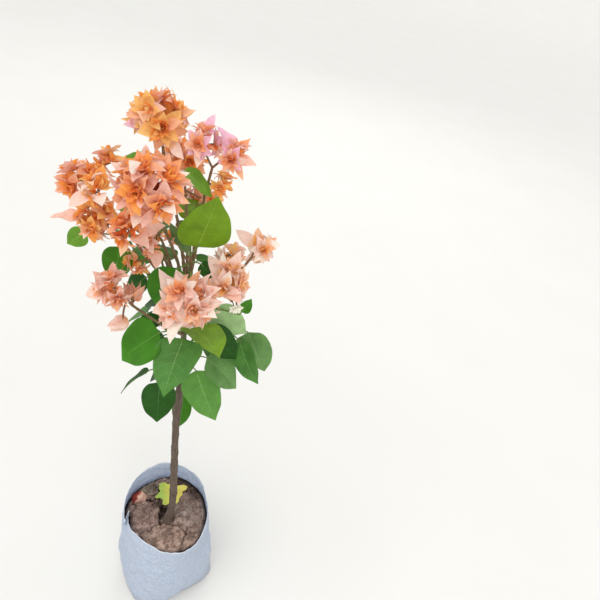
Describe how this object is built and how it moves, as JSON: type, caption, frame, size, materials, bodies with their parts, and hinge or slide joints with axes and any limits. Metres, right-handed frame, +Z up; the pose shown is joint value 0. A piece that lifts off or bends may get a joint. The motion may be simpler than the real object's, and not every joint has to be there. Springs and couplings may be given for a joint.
{
  "type": "potted bougainvillea bush",
  "caption": "Young bougainvillea on one slim bare trunk in a round woven grow bag of soil, with a fan of boughs, leafy skirts and double coral-orange bloom heads.",
  "frame": {"origin": "middle of the bag's flat underside, where the bag stands", "axes": "+Z up along the trunk; -Y towards the side that the picture shows; +X to the right as seen from there"},
  "size_m": [0.2246, 0.2121, 0.828],
  "materials": {
    "bag": "woven polypropylene cloth, satin",
    "soil": "dry cracked earth, matte",
    "brick": "broken brick, matte",
    "yellow_leaf": "fading leaf, satin",
    "bark": "thin bark with lenticels, matte",
    "young_bark": "young bark, matte",
    "leaf": "leaf, satin",
    "bract": "papery bract, matte"
  },
  "bodies": {
    "root": {"grow_bag": "bag", "soil": "soil", "brick_clod": "brick", "fallen_leaf": "yellow_leaf", "trunk": "bark", "bough_top": "young_bark", "bough_main": "young_bark", "bough_top_right": "young_bark", "bough_shoot": "young_bark", "bough_left": "young_bark", "bough_left_inner": "young_bark", "bough_back_left": "young_bark", "bough_far_right": "young_bark", "bough_right": "young_bark", "bough_front": "young_bark", "bough_left_low": "young_bark", "bough_back_top": "young_bark", "bough_back_mid": "young_bark", "bough_back_low": "young_bark", "bough_back_right": "young_bark", "bough_back_far": "young_bark", "leaves_front": "leaf", "leaves_low_left": "leaf", "leaves_low_right": "leaf", "leaves_right": "leaf", "leaves_right_high": "leaf", "leaves_left": "leaf", "leaf_low_back": "leaf", "leaves_shoot": "leaf", "leaves_back": "leaf", "leaves_back_left": "leaf", "leaves_back_right": "leaf", "leaves_back_low": "leaf", "leaves_inner_back": "leaf", "leaves_inner_left": "leaf", "bloom_front": "bract", "bloom_main": "bract", "bloom_top": "bract", "bloom_top_right": "bract", "bloom_left": "bract", "bloom_left_inner": "bract", "bloom_back_left": "bract", "bloom_left_low": "bract", "bloom_right": "bract", "bloom_far_right": "bract", "bloom_back_top": "bract", "bloom_back_mid": "bract", "bloom_back_low": "bract", "bloom_back_right": "bract", "bloom_back_far": "bract"}
  },
  "joints": []
}
